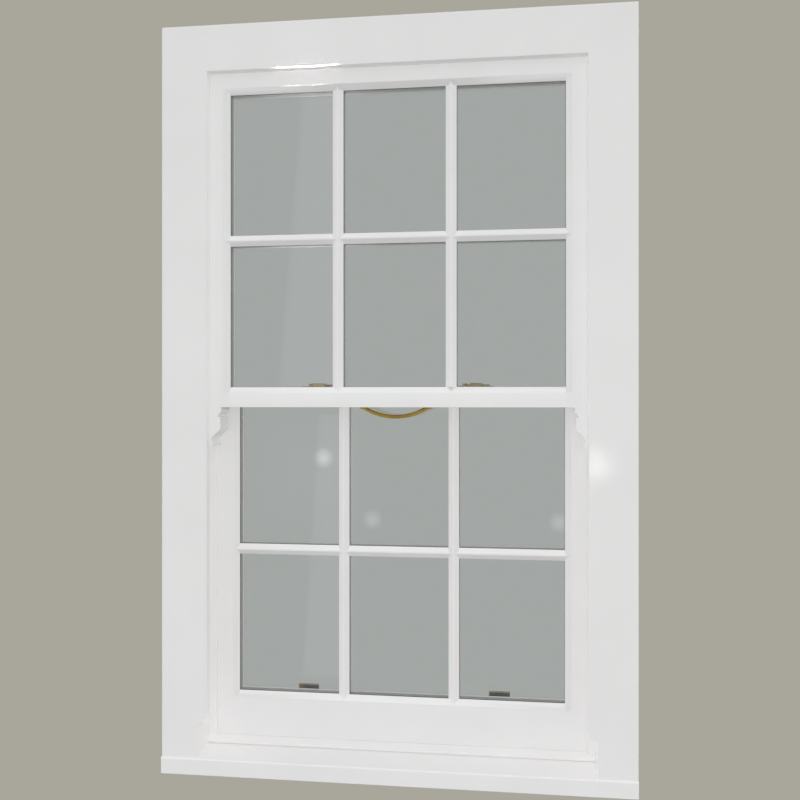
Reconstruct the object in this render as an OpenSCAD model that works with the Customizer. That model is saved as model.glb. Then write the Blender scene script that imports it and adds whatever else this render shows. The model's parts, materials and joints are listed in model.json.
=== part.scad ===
// Box sash window: a weighted box frame with two sliding sashes, six panes in each.
// X runs across the window, Y from outside to inside, Z up.
// The origin is the middle of the sill's underside.

/* [Overall] */
// Width over the outer edges of the linings
overall_w = 1000; // [820:10:1300]
// Height from the underside of the sill to the top of the linings
overall_h = 1600; // [1360:10:2000]

/* [Linings] */
// Width of the outer linings at the jambs and the head
lining_w = 100; // [90:1:125]
// Thickness of the outer linings
lining_t = 20; // [16:1:26]
// How far the outer linings stand past the face of the pulley stiles
lining_cover = 19; // [12:1:24]
// Radius on the inner front edge of the outer linings
lining_edge_r = 3; // [1:0.5:6]
// Height of the cut-back at the foot of each outer lining
foot_cut_h = 100; // [80:1:130]
// Thickness of the inner linings
inner_t = 20; // [16:1:26]
// Thickness of the boards that close the back of the weight boxes
back_t = 6; // [4:1:9]

/* [Sill] */
// Height of the sill's front face
nose_h = 34.5; // [28:0.5:45]
// How far the sill stands in front of the outer linings
nose_proj = 4; // [0:0.5:30]
// Radius on the top edge of the nose
nose_r = 4; // [2:0.5:8]
// Fall of the sill, in degrees
sill_fall = 10; // [7:0.5:12]
// Distance from the front of the outer linings to the step in the sill
step_in = 62; // [50:1:70]
// Height of the step in the sill
step_h = 7.5; // [5:0.5:10]
// Width of the drip groove under the nose
drip_w = 8; // [5:1:12]

/* [Frame boards and beads] */
// Thickness of the pulley stiles
stile_board_t = 21; // [18:0.5:28]
// Thickness of the head board
head_board_t = 22; // [18:0.5:30]
// Thickness of the parting beads
part_t = 8; // [8:0.5:12]
// How far the parting beads stand out of the pulley stiles
part_proud = 15; // [10:0.5:16]
// Depth of the groove that holds a parting bead
part_groove = 6; // [4:0.5:9]
// Width of the staff beads, across the opening
staff_w = 16; // [12:0.5:18]
// Depth of the staff beads, into the room
staff_d = 17; // [14:0.5:19]
// Radius on the staff beads
staff_r = 8; // [4:0.5:10]

/* [Sashes] */
// Thickness of both sashes
sash_t = 57; // [54:0.5:68]
// Width of the sash stiles
sash_stile_w = 60.5; // [54:0.5:75]
// Height of the top rail
top_rail_h = 60; // [50:0.5:80]
// Height of each meeting rail
meet_h = 43; // [38:0.5:55]
// Height of the bottom rail at its outer face
bottom_rail_h = 96.5; // [85:0.5:120]
// Width of the glazing bars
bar_w = 23; // [20:0.5:30]
// Distance between the centres of the two upright bars
bar_pitch = 240.8; // [200:0.2:290]
// Width of the flat on the ridge of the glazing bars
bar_flat = 3; // [1:0.5:6]
// Width of the bevel around each pane
bevel_w = 13; // [10:0.5:16]
// Depth of the bevel around each pane
bevel_d = 10.5; // [8:0.5:12]
// Length of the horns below the upper meeting rail
horn_l = 84.5; // [75:0.5:105]

/* [Glazing] */
// Thickness of each sheet of glass
glass_t = 4; // [3:0.5:6]
// Width of the space between the two sheets
space_t = 16; // [12:1:18]
// Depth of the lip that the outer sheet bears on, from the face of the sash
lip_d = 12; // [11:0.5:14]
// Width of the rebate for the glass
rebate_w = 8; // [7:0.5:9]
// Room left around the edge of each glazed unit
glass_play = 1.5; // [1:0.5:2]
// Width of the spacer at the edge of each glazed unit
spacer_w = 7; // [5:0.5:8]
// Depth of the upright edge of the inner glazing beads
bead_edge = 7; // [4:0.5:10]

/* [Clearances] */
// Gap between a sash and the linings or beads that guide it
face_play = 0.8; // [0.5:0.1:0.9]
// Gap between a sash and the pulley stiles
side_play = 1.5; // [1:0.1:3]
// Gap between the upper sash and the head board
top_play = 2; // [1:0.5:4]
// Gap between the lower sash and the sill it closes on
seat_play = 0.3; // [0.2:0.1:0.6]
// Gap at the shoulders of the glazing bars
shoulder_play = 0.05; // [0.02:0.01:0.1]
// Radial gap between a turning piece and its pin
pin_play = 0.05; // [0.02:0.01:0.09]

/* [Cords, pulleys and weights] */
// Diameter of the sash cord
cord_dia = 6; // [5:0.5:7]
// Depth of the cord groove in the edge of a sash
cord_groove_d = 10; // [9:0.5:13]
// Width of the cord groove
cord_groove_w = 12; // [11:0.5:15]
// Length of the cord groove from the top of a sash
cord_groove_l = 250; // [200:5:300]
// Distance from the head board down to the pulley pins
pulley_drop = 79; // [70:1:100]
// Width of the pulley wheels
wheel_w = 10; // [9:0.5:10.5]
// Diameter of the pulley pins
axle_dia = 6; // [4:0.5:8]
// Width of the face plate of a pulley
plate_w = 26; // [22:1:30]
// Height of the face plate of a pulley
plate_h = 120; // [100:1:140]
// Thickness of the plates of a pulley case
case_t = 2; // [1.5:0.5:2.5]
// Diameter of the weights
weight_dia = 48; // [42:0.5:50]
// Length of each weight of the upper sash
upper_weight_l = 627; // [450:1:650]
// Length of each weight of the lower sash
lower_weight_l = 642; // [450:1:650]
// Height of the neck on top of a weight
weight_neck_h = 25; // [15:1:35]
// Distance that a weight at its lowest stays above the sill
weight_clear = 12; // [8:1:30]
// Part of the daylight height that a fully open sash still covers
stop_margin = 29.5; // [20:0.5:80]
// Height of the pocket pieces above the sill's underside
pocket_z = 190; // [150:5:250]
// Length of the pocket pieces
pocket_l = 450; // [400:5:480]
// Thickness of the dividers between the weights
divider_t = 6; // [4:1:8]

/* [Brass] */
// Diameter of the bow handle's bar
bow_dia = 8; // [6:0.5:10]
// Distance between the ends of the bow handle
bow_span = 138; // [110:1:170]
// Depth of the bow handle's curve, at its centre line
bow_drop = 20; // [18:0.5:26]
// Distance from the middle of the window to each fastener
fastener_x = 170; // [140:1:200]
// Length of the fastener's base plate on the pivot's far side
fastener_back = 44; // [38:1:50]
// Length of the fastener's base plate on the arm's side
fastener_front = 34; // [32:1:40]
// Width of the fastener's base plate
fastener_w = 24; // [20:1:28]
// Reach of the fastener's arm from its pivot
arm_reach = 27; // [25:0.5:28]
// Distance from the middle of the window to each sash lift
lift_x = 216; // [150:1:260]
// Width of the sash lifts
lift_w = 52; // [40:1:60]
// Height of the plate of a sash lift
lift_plate_h = 42; // [36:1:46]
// Radius of the hook of a sash lift, to its outer face
lift_hook_r = 12; // [10:0.5:14]

/* [Hidden] */
$fn = 48;
over = 1;

// Colours
paint = [0.87, 0.87, 0.86];
bare_wood = [0.78, 0.62, 0.42];
brass = [0.72, 0.57, 0.25];
iron = [0.25, 0.25, 0.26];
cord_white = [0.85, 0.83, 0.76];
glass_tint = [0.64, 0.70, 0.68, 0.4];
spacer_grey = [0.58, 0.58, 0.59];

// Fixed small sizes of the pulleys and weight boxes
rim_lip = 2;
wheel_gap = 1;
mortise_gap = 3;
cord_shift = 0.5;
knot_gap = 0.3;
divider_gap = 6;
pocket_front = 2;
pocket_rear = 4;

// Stations across the depth, from outside to inside
channel_t = sash_t + 2 * face_play;
frame_d = lining_t + 2 * channel_t + part_t + inner_t;
sill_d = nose_proj + frame_d;
y_nose = -sill_d / 2;
y_out = y_nose + nose_proj;
y_box = y_out + lining_t;
y_upper = y_box + face_play;
y_part = y_box + channel_t;
y_lower = y_part + part_t + face_play;
y_staff = y_part + part_t + channel_t;
y_in = y_staff + inner_t;
y_step = y_out + step_in;
y_upper_cord = y_upper + sash_t / 2;
y_lower_cord = y_lower + sash_t / 2;

// Stations across the right-hand side, from the opening outwards
x_edge = overall_w / 2;
x_lining = x_edge - lining_w;
x_face = x_lining + lining_cover;
x_back = x_face + stile_board_t;
x_box_end = x_edge - back_t;
x_weight = (x_back + x_box_end) / 2;
x_sash = x_face - side_play;
x_sight = x_sash - sash_stile_w;
x_cord = x_sash - cord_groove_d / 2 + cord_shift;
x_pulley = (x_cord + x_weight) / 2;
cord_r = (x_weight - x_cord) / 2;
wheel_rim_r = cord_r + rim_lip;
wheel_room = wheel_w + 2 * wheel_gap;
mortise_h = 2 * (cord_r + cord_dia / 2 + mortise_gap);

// Heights
function sill_z(y) = y < y_step ? nose_h + (y - y_nose) * tan(sill_fall)
    : y < y_staff ? nose_h + step_h + (y - y_nose) * tan(sill_fall)
    : nose_h + step_h + (y_staff - y_nose) * tan(sill_fall);
z_bench = sill_z(y_staff);
z_head = overall_h - lining_w + lining_cover;
z_top = z_head - top_play;
z_sight_top = z_top - top_rail_h;
z_sight_low = sill_z(y_lower) + seat_play + bottom_rail_h;
z_meet = (z_sight_top + z_sight_low - meet_h) / 2;
z_meet_top = z_meet + meet_h;
daylight_h = z_sight_top - z_meet_top;
travel = daylight_h - stop_margin;
z_pulley = z_head - pulley_drop;
z_weight_low = z_bench + weight_clear;

// Knots and weights at rest: the upper pair hangs low, the lower pair high
z_upper_weight = z_weight_low;
z_lower_weight = z_weight_low + travel;
z_upper_knot = z_top - cord_groove_l + cord_groove_d;
z_lower_knot = z_meet_top - cord_groove_l + cord_groove_d;

// Fasteners on the meeting rails
keep_base_h = 2;
fastener_base_h = 3;
fastener_gap = 0.3;
fastener_pin_dia = 6;
arm_t = 3.2;
hub_h = 5;
arm_z = z_meet_top + fastener_base_h + fastener_gap;
y_pivot = y_part + arm_reach + 1.5;

// Glazing
unit_t = 2 * glass_t + space_t;
bar_ridge_d = bevel_d * (1 - (bar_w - bar_flat) / 2 / bevel_w);
bead_d = sash_t - lip_d - unit_t;
cover = rebate_w - glass_play;

// Outlines of a pane's opening, as [depth from the sash face, growth past the sight line]
pane_steps = [
    [-over, bevel_w], [0, bevel_w], [bevel_d, 0], [lip_d, 0], [lip_d, rebate_w], [sash_t + over, rebate_w],
];
bead_steps = [
    [lip_d + unit_t - over, 0], [lip_d + unit_t + bead_edge, 0],
    [sash_t, rebate_w - over], [sash_t + over, rebate_w - over],
];

function columns() = [
    [-x_sight, -bar_pitch / 2 - bar_w / 2],
    [-bar_pitch / 2 + bar_w / 2, bar_pitch / 2 - bar_w / 2],
    [bar_pitch / 2 + bar_w / 2, x_sight],
];
function rows(z0) = [
    [z0, z0 + daylight_h / 2 - bar_w / 2],
    [z0 + daylight_h / 2 + bar_w / 2, z0 + daylight_h],
];

function arc(c, r, a0, a1, n = 8) = [
    for (i = [0:n]) c + r * [cos(a0 + (a1 - a0) * i / n), sin(a0 + (a1 - a0) * i / n)]
];

// ---------- helpers ----------

module on_side(side) {
    mirror([side == "left" ? 1 : 0, 0, 0]) children();
}

module block(x0, x1, y0, y1, z0, z1) {
    translate([x0, y0, z0]) cube([x1 - x0, y1 - y0, z1 - z0]);
}

// A profile drawn in Y and Z, run along X
module along_x(x0, x1) {
    translate([x0, 0, 0]) rotate([90, 0, 90]) linear_extrude(x1 - x0) children();
}

// An outline drawn in X and Z, run along Y
module along_y(y0, y1) {
    translate([0, y1, 0]) rotate([90, 0, 0]) linear_extrude(y1 - y0) children();
}

// What a rounded edge loses, for an edge at the origin with the solid at +X and +Y
module edge_cut(r) {
    difference() {
        translate([-over, -over]) square([r + over, r + over]);
        translate([r, r]) circle(r = r);
    }
}

// The sill's section, in Y and Z
module sill_section() {
    arris_y = y_nose + nose_r;
    arris_z = sill_z(arris_y) - nose_r / cos(sill_fall);
    difference() {
        polygon(concat(
            [[y_in, 0], [y_nose, 0]],
            arc([arris_y, arris_z], nose_r, 180, 90 + sill_fall),
            [
                [y_step, nose_h + (y_step - y_nose) * tan(sill_fall)],
                [y_step, sill_z(y_step)],
                [y_staff, z_bench],
                [y_in, z_bench],
            ]
        ));
        translate([y_nose + 2 * drip_w, -over]) square([drip_w, drip_w / 2 + over]);
    }
}

// What stands on the sill is cut to its slope
module on_sill(gap = 0) {
    difference() {
        children();
        translate([0, 0, gap]) along_x(-x_edge - over, x_edge + over) polygon([
            [y_nose - over, -nose_h],
            [y_nose - over, nose_h - over * tan(sill_fall)],
            [y_step, nose_h + (y_step - y_nose) * tan(sill_fall)],
            [y_step, sill_z(y_step)],
            [y_staff, z_bench],
            [y_in + over, z_bench],
            [y_in + over, -nose_h],
        ]);
    }
}

// A rectangular opening whose size changes with depth from the face at y0
module stepped_opening(x, z, y0, steps) {
    grow = max([for (s = steps) s[1]]);
    last = len(steps) - 1;
    intersection() {
        translate([0, 0, z[0] - grow]) linear_extrude(z[1] - z[0] + 2 * grow) polygon(concat(
            [for (s = steps) [x[0] - s[1], y0 + s[0]]],
            [for (i = [last:-1:0]) [x[1] + steps[i][1], y0 + steps[i][0]]]
        ));
        along_x(x[0] - grow, x[1] + grow) polygon(concat(
            [for (s = steps) [y0 + s[0], z[0] - s[1]]],
            [for (i = [last:-1:0]) [y0 + steps[i][0], z[1] + steps[i][1]]]
        ));
    }
}

// ---------- box frame ----------

module sill() {
    color(paint) along_x(-x_edge, x_edge) sill_section();
}

module head_board() {
    color(paint) difference() {
        block(-x_box_end, x_box_end, y_box, y_staff, z_head, z_head + head_board_t);
        block(-x_face + part_proud, x_face - part_proud, y_part, y_part + part_t,
            z_head - over, z_head + part_groove);
    }
}

module pulley_stile() {
    color(paint) on_sill() difference() {
        block(x_face, x_back, y_box, y_staff, 0, z_head);
        block(x_face - over, x_face + part_groove, y_part, y_part + part_t, 0, z_head + over);
        pocket_block(over);
        for (y = [y_upper_cord, y_lower_cord]) {
            block(x_face - over, x_face + case_t, y - plate_w / 2, y + plate_w / 2,
                z_pulley - plate_h / 2, z_pulley + plate_h / 2);
            block(x_face - over, x_back + over, y - wheel_room / 2 - case_t, y + wheel_room / 2 + case_t,
                z_pulley - mortise_h / 2, z_pulley + mortise_h / 2);
        }
    }
}

// The way in to the weights, on the lower sash's side of the parting bead
module pocket_block(extra = 0) {
    block(x_face - extra, x_back + extra, y_lower + pocket_front, y_staff - pocket_rear,
        pocket_z, pocket_z + pocket_l);
}

module pocket_piece() {
    color(paint) pocket_block();
}

module outer_lining() {
    notch_r = lining_cover;
    color(paint) on_sill() difference() {
        block(x_lining, x_edge, y_out, y_box, 0, overall_h);
        // cut-back at the foot, with a quarter-round top
        block(x_lining - over, x_face, y_out - over, y_box + over, -over, foot_cut_h);
        translate([x_lining, y_box + over, foot_cut_h]) rotate([90, 0, 0])
            cylinder(r = notch_r, h = lining_t + 2 * over);
        // round on the inner front edge, up to the head lining
        translate([x_lining, y_out, 0]) linear_extrude(overall_h - lining_w) edge_cut(lining_edge_r);
    }
}

module head_outer_lining() {
    color(paint) difference() {
        block(-x_lining, x_lining, y_out, y_box, overall_h - lining_w, overall_h);
        along_x(-x_lining - over, x_lining + over)
            translate([y_out, overall_h - lining_w]) edge_cut(lining_edge_r);
    }
}

module inner_lining() {
    color(paint) block(x_face, x_edge, y_staff, y_in, z_bench, overall_h);
}

module head_inner_lining() {
    color(paint) block(-x_face, x_face, y_staff, y_in, z_head, overall_h);
}

module back_lining() {
    color(bare_wood) on_sill() block(x_box_end, x_edge, y_box, y_staff, 0, z_head + head_board_t);
}

module parting_bead() {
    color(paint) on_sill()
        block(x_face - part_proud, x_face + part_groove, y_part, y_part + part_t, 0, z_head);
}

module head_parting_bead() {
    color(paint) block(-x_face + part_proud, x_face - part_proud, y_part, y_part + part_t,
        z_head - part_proud, z_head + part_groove);
}

module staff_bead() {
    color(paint) intersection() {
        translate([0, 0, z_bench]) linear_extrude(z_head - z_bench) difference() {
            translate([x_face - staff_w, y_staff]) square([staff_w, staff_d]);
            translate([x_face - staff_w, y_staff + staff_d]) mirror([0, 1]) edge_cut(staff_r);
        }
        along_y(y_staff - over, y_in + over) polygon([
            [x_face, z_bench], [x_face, z_head],
            [x_face - staff_w, z_head - staff_w], [x_face - staff_w, z_bench + staff_w],
        ]);
    }
}

// The staff bead of the head, below z, or of the sill, above z; its ends are mitred
module level_staff_bead(z, at_sill) {
    z_free = at_sill ? z + staff_w : z - staff_w;
    color(paint) intersection() {
        along_x(-x_face, x_face) difference() {
            translate([y_staff, min(z, z_free)]) square([staff_d, staff_w]);
            translate([y_staff + staff_d, z_free]) mirror([1, 0]) mirror([0, at_sill ? 1 : 0])
                edge_cut(staff_r);
        }
        along_y(y_staff - over, y_in + over) polygon([
            [-x_face, z], [x_face, z], [x_face - staff_w, z_free], [-x_face + staff_w, z_free],
        ]);
    }
}

module weight_divider() {
    y_mid = (y_upper_cord + y_lower_cord) / 2;
    color(bare_wood) block(x_back + divider_gap, x_box_end - divider_gap,
        y_mid - divider_t / 2, y_mid + divider_t / 2, z_bench + weight_clear, z_head);
}

// ---------- pulleys, weights and cords ----------

module pulley_case(y) {
    slot_gap = 2;
    cheek_h = 2 * wheel_rim_r;
    slot_h = cheek_h + 2 * slot_gap;
    difference() {
        union() {
            block(x_face, x_face + case_t, y - plate_w / 2, y + plate_w / 2,
                z_pulley - plate_h / 2, z_pulley + plate_h / 2);
            for (y0 = [y - wheel_room / 2 - case_t, y + wheel_room / 2])
                block(x_face, x_pulley + cord_r - cord_dia, y0, y0 + case_t,
                    z_pulley - cheek_h / 2, z_pulley + cheek_h / 2);
        }
        block(x_face - over, x_face + case_t + over, y - wheel_room / 2, y + wheel_room / 2,
            z_pulley - slot_h / 2, z_pulley + slot_h / 2);
    }
    translate([x_pulley, y, z_pulley]) rotate([90, 0, 0])
        cylinder(d = axle_dia, h = wheel_room + 2 * case_t, center = true);
}

module pulley_cases() {
    color(brass) for (y = [y_upper_cord, y_lower_cord]) pulley_case(y);
}

module wheel(y) {
    rope_play = 0.3;
    cord_room_r = cord_dia / 2 + rope_play;
    color(brass) translate([x_pulley, y, z_pulley]) rotate([90, 0, 0]) rotate_extrude() difference() {
        translate([axle_dia / 2 + pin_play, -wheel_w / 2])
            square([wheel_rim_r - axle_dia / 2 - pin_play, wheel_w]);
        translate([cord_r, 0]) circle(r = cord_room_r);
        translate([cord_r, -cord_room_r]) square([wheel_rim_r, 2 * cord_room_r]);
    }
}

// A weight whose foot is at z
module weight(y, z, length) {
    shoulder_h = 12;
    neck_r = weight_dia / 5;
    color(iron) translate([x_weight, y, z]) {
        cylinder(d = weight_dia, h = length - shoulder_h);
        translate([0, 0, length - shoulder_h]) cylinder(d1 = weight_dia, r2 = neck_r, h = shoulder_h);
        translate([0, 0, length]) cylinder(r = neck_r, h = weight_neck_h);
    }
}

// A cord from its knot in the sash, over the pulley and down to its weight
module cord(y, z_knot, z_weight_top) {
    color(cord_white) {
        translate([x_cord, y, z_knot]) sphere(r = cord_groove_d / 2 - knot_gap);
        translate([x_pulley, y, z_pulley]) {
            rotate([90, 0, 0]) rotate_extrude(angle = 180) translate([cord_r, 0]) circle(d = cord_dia);
            translate([-cord_r, 0, 0]) mirror([0, 0, 1]) cylinder(d = cord_dia, h = z_pulley - z_knot);
            translate([cord_r, 0, 0]) mirror([0, 0, 1]) cylinder(d = cord_dia, h = z_pulley - z_weight_top);
        }
    }
}

module upper_weight() { weight(y_upper_cord, z_upper_weight, upper_weight_l); }
module lower_weight() { weight(y_lower_cord, z_lower_weight, lower_weight_l); }
module upper_cord() { cord(y_upper_cord, z_upper_knot, z_upper_weight + upper_weight_l + weight_neck_h); }
module lower_cord() { cord(y_lower_cord, z_lower_knot, z_lower_weight + lower_weight_l + weight_neck_h); }

// ---------- sashes ----------

// What the panes take out of a sash whose face is at y0 and whose lowest sight line is at z0
module pane_openings(y0, z0, steps = pane_steps) {
    for (x = columns(), z = rows(z0)) stepped_opening(x, z, y0, steps);
}

module glazed(y0, z0) {
    color(paint) difference() {
        children();
        pane_openings(y0, z0);
    }
}

module cord_groove(y0, z_end) {
    y = y0 + sash_t / 2;
    block(x_sash - cord_groove_d, x_sash + over, y - cord_groove_w / 2, y + cord_groove_w / 2,
        z_end - cord_groove_l, z_end + over);
}

// A horn is a straight drop, a cove with a fillet under it, an ogee and a rounded tip
horn_neck = sash_stile_w - 18;
horn_tip = sash_stile_w / 3 + 0.6;
horn_drop = 11.5;
horn_cove_r = 7;
horn_fillet_h = 2;
horn_fillet_w = 5.5;
horn_ogee_h = 26;
horn_tip_h = 15;
horn_waist_h = 4;
horn_nose_r = 5.5;
horn_nose_in = 1.8;

// Its outline, as [distance in from the sash's edge, depth below the meeting rail]
horn_belly = horn_neck - horn_cove_r + horn_fillet_w;
horn_cove_z = horn_drop + horn_cove_r;
horn_ogee_z = horn_l - horn_tip_h;
horn_points = concat(
    [[0, -over], [horn_neck, -over], [horn_neck, horn_drop]],
    arc([horn_neck, horn_cove_z], horn_cove_r, 270, 180),
    [[horn_neck - horn_cove_r, horn_cove_z + horn_fillet_h], [horn_belly, horn_cove_z + horn_fillet_h]],
    [for (i = [0:12]) [
        horn_tip + (horn_belly - horn_tip) * (1 + cos(15 * i)) / 2,
        horn_ogee_z - horn_ogee_h * (12 - i) / 12,
    ]],
    [[horn_tip, horn_ogee_z + horn_waist_h]],
    arc([horn_tip - horn_nose_in, horn_l - horn_nose_r], horn_nose_r, 0, 90),
    [[0, horn_l]]
);

module horn() {
    along_y(y_upper, y_upper + sash_t) polygon([for (p = horn_points) [x_sash - p[0], z_meet - p[1]]]);
}

module upper_stile() {
    color(paint) difference() {
        union() {
            block(x_sight, x_sash, y_upper, y_upper + sash_t, z_meet, z_top);
            horn();
        }
        cord_groove(y_upper, z_top);
        pane_openings(y_upper, z_meet_top);
    }
}

module upper_top_rail() {
    glazed(y_upper, z_meet_top) block(-x_sight, x_sight, y_upper, y_upper + sash_t, z_sight_top, z_top);
}

// The upper meeting rail is thicker than its sash, to close the gap between the two sashes
module upper_meeting_rail() {
    x_strip = x_face - part_proud - side_play;
    glazed(y_upper, z_meet_top) {
        block(-x_sight, x_sight, y_upper, y_upper + sash_t, z_meet, z_meet_top);
        block(-x_strip, x_strip, y_upper + sash_t, y_part + part_t, z_meet, z_meet_top);
    }
}

module glazing_bars(y0, z0) {
    z_mid = z0 + daylight_h / 2;
    glazed(y0, z0) {
        for (x = [-bar_pitch / 2, bar_pitch / 2])
            block(x - bar_w / 2, x + bar_w / 2, y0 + bar_ridge_d, y0 + sash_t, z0, z0 + daylight_h);
        for (x = columns())
            block(x[0] + shoulder_play, x[1] - shoulder_play, y0 + bar_ridge_d, y0 + sash_t,
                z_mid - bar_w / 2, z_mid + bar_w / 2);
    }
}

module panes(y0, z0) {
    color(glass_tint) for (x = columns(), z = rows(z0), d = [lip_d, lip_d + glass_t + space_t])
        block(x[0] - cover, x[1] + cover, y0 + d, y0 + d + glass_t, z[0] - cover, z[1] + cover);
}

module spacers(y0, z0) {
    d = lip_d + glass_t;
    inset = spacer_w - cover;
    color(spacer_grey) for (x = columns(), z = rows(z0)) difference() {
        block(x[0] - cover, x[1] + cover, y0 + d, y0 + d + space_t, z[0] - cover, z[1] + cover);
        block(x[0] + inset, x[1] - inset, y0 + d - over, y0 + d + space_t + over,
            z[0] + inset, z[1] - inset);
    }
}

module glazing_beads(y0, z0) {
    d = lip_d + unit_t;
    color(paint) for (x = columns(), z = rows(z0)) difference() {
        block(x[0] - rebate_w, x[1] + rebate_w, y0 + d, y0 + sash_t, z[0] - rebate_w, z[1] + rebate_w);
        stepped_opening(x, z, y0, bead_steps);
    }
}

module lower_stile() {
    color(paint) on_sill(seat_play) difference() {
        block(x_sight, x_sash, y_lower, y_lower + sash_t, 0, z_meet_top);
        cord_groove(y_lower, z_meet_top);
        pane_openings(y_lower, z_sight_low);
    }
}

module lower_meeting_rail() {
    glazed(y_lower, z_sight_low)
        block(-x_sight, x_sight, y_lower, y_lower + sash_t, z_meet, z_meet_top);
}

module lower_bottom_rail() {
    on_sill(seat_play) glazed(y_lower, z_sight_low)
        block(-x_sight, x_sight, y_lower, y_lower + sash_t, 0, z_sight_low);
}

// ---------- brass ----------

module bow_handle() {
    half = bow_span / 2;
    bow_r = (half * half + bow_drop * bow_drop) / 2 / bow_drop;
    sweep = asin(half / bow_r);
    foot_r = bow_dia;
    foot_t = 3;
    color(brass) {
        intersection() {
            translate([0, y_upper_cord, z_meet - bow_drop + bow_r]) rotate([90, 0, 0])
                rotate(-90 - sweep) rotate_extrude(angle = 2 * sweep)
                    translate([bow_r, 0]) circle(d = bow_dia);
            block(-bow_span, bow_span, y_upper, y_lower, z_meet - 2 * bow_drop, z_meet);
        }
        for (x = [-half, half])
            translate([x, y_upper_cord, z_meet - foot_t]) cylinder(r = foot_r, h = foot_t);
    }
}

// A keep is a base, a riser and a finger that the closed arm slides under
module fastener_keeps() {
    keep_w = 26;
    finger_t = 2;
    finger_gap = 0.4;
    y_base = y_part - 20;
    y_riser = [y_part - 16, y_part - 8];
    y_tip = y_part + 6;
    finger_z = arm_z + arm_t + finger_gap;
    color(brass) for (x = [-fastener_x, fastener_x]) {
        block(x - keep_w / 2, x + keep_w / 2, y_base, y_tip, z_meet_top, z_meet_top + keep_base_h);
        block(x - keep_w / 2, x + keep_w / 2, y_riser[0], y_riser[1], z_meet_top, finger_z);
        block(x - keep_w / 2, x + keep_w / 2, y_riser[0], y_tip, finger_z, finger_z + finger_t);
    }
}

module fastener_plates() {
    screw_dia = 4;
    screw_back = 7;
    screw_front = 5;
    pin_head_h = 1;
    color(brass) for (x = [-fastener_x, fastener_x]) translate([x, y_pivot, z_meet_top]) {
        difference() {
            block(-fastener_back, fastener_front, -fastener_w / 2, fastener_w / 2, 0, fastener_base_h);
            for (sx = [-fastener_back + screw_back, fastener_front - screw_front])
                translate([sx, 0, -over]) cylinder(d = screw_dia, h = fastener_base_h + 2 * over);
        }
        cylinder(d = fastener_pin_dia, h = fastener_base_h + fastener_gap + hub_h + pin_head_h);
    }
}

// Open, the arm lies along the rail; closed, it points across to the keep
module fastener_arm(x) {
    hub_r = 8;
    arm_w = 9;
    lever_l = 26;
    lever_w = 6;
    knob_r = 5.5;
    color(brass) translate([x, y_pivot, arm_z]) difference() {
        union() {
            cylinder(r = hub_r, h = hub_h);
            translate([0, -arm_w / 2, 0]) cube([arm_reach - arm_w / 2, arm_w, arm_t]);
            translate([arm_reach - arm_w / 2, 0, 0]) cylinder(d = arm_w, h = arm_t);
            translate([-lever_l, -lever_w / 2, 0]) cube([lever_l, lever_w, arm_t]);
            translate([-lever_l, 0, 0]) cylinder(r = knob_r, h = hub_h);
        }
        translate([0, 0, -over]) cylinder(d = fastener_pin_dia + 2 * pin_play, h = hub_h + 2 * over);
    }
}

// A lift is a plate on the bottom rail with a hook for the fingers, which ends level with the glass
module sash_lifts() {
    hook_t = 4;
    hook_in = 3;
    plate_t = 3;
    plate_top_gap = 1;
    hook_rise = 4;
    root_overlap = 0.01;
    y_rail = y_lower + sash_t;
    z_plate = z_sight_low - rebate_w - plate_top_gap - lift_plate_h;
    y_hook = y_rail + plate_t + lift_hook_r;
    z_hook = z_plate + hook_rise + lift_hook_r;
    color(brass) for (x = [-lift_x, lift_x]) {
        block(x - lift_w / 2, x + lift_w / 2, y_rail, y_rail + plate_t, z_plate, z_plate + lift_plate_h);
        along_x(x - lift_w / 2 + hook_in, x + lift_w / 2 - hook_in) {
            difference() {
                translate([y_hook, z_hook]) circle(r = lift_hook_r);
                translate([y_hook, z_hook]) circle(r = lift_hook_r - hook_t);
                translate([y_rail, z_hook]) square([4 * lift_hook_r, 4 * lift_hook_r]);
            }
            translate([y_hook + lift_hook_r - hook_t, z_hook])
                square([hook_t, z_sight_low - z_hook - hook_t / 2]);
            translate([y_hook + lift_hook_r - hook_t / 2, z_sight_low - hook_t / 2]) circle(d = hook_t);
            translate([y_rail + plate_t - root_overlap, z_plate + hook_rise]) square([hook_t, lift_hook_r]);
        }
    }
}

// ---------- assembly ----------

sill();
head_board();
on_side("left") pulley_stile();  // left_pulley_stile
on_side("right") pulley_stile();  // right_pulley_stile
on_side("left") pocket_piece();  // left_pocket_piece
on_side("right") pocket_piece();  // right_pocket_piece
on_side("left") outer_lining();  // left_outer_lining
on_side("right") outer_lining();  // right_outer_lining
head_outer_lining();
on_side("left") inner_lining();  // left_inner_lining
on_side("right") inner_lining();  // right_inner_lining
head_inner_lining();
on_side("left") back_lining();  // left_back_lining
on_side("right") back_lining();  // right_back_lining
on_side("left") parting_bead();  // left_parting_bead
on_side("right") parting_bead();  // right_parting_bead
head_parting_bead();
on_side("left") staff_bead();  // left_staff_bead
on_side("right") staff_bead();  // right_staff_bead
level_staff_bead(z_head, false);  // head_staff_bead
level_staff_bead(z_bench, true);  // sill_staff_bead
on_side("left") weight_divider();  // left_weight_divider
on_side("right") weight_divider();  // right_weight_divider
on_side("left") pulley_cases();  // left_pulley_cases
on_side("right") pulley_cases();  // right_pulley_cases
on_side("left") wheel(y_upper_cord);  // upper_left_wheel
on_side("right") wheel(y_upper_cord);  // upper_right_wheel
on_side("left") wheel(y_lower_cord);  // lower_left_wheel
on_side("right") wheel(y_lower_cord);  // lower_right_wheel
on_side("left") upper_weight();  // upper_left_weight
on_side("right") upper_weight();  // upper_right_weight
on_side("left") lower_weight();  // lower_left_weight
on_side("right") lower_weight();  // lower_right_weight
on_side("left") upper_cord();  // upper_left_cord
on_side("right") upper_cord();  // upper_right_cord
on_side("left") lower_cord();  // lower_left_cord
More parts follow.
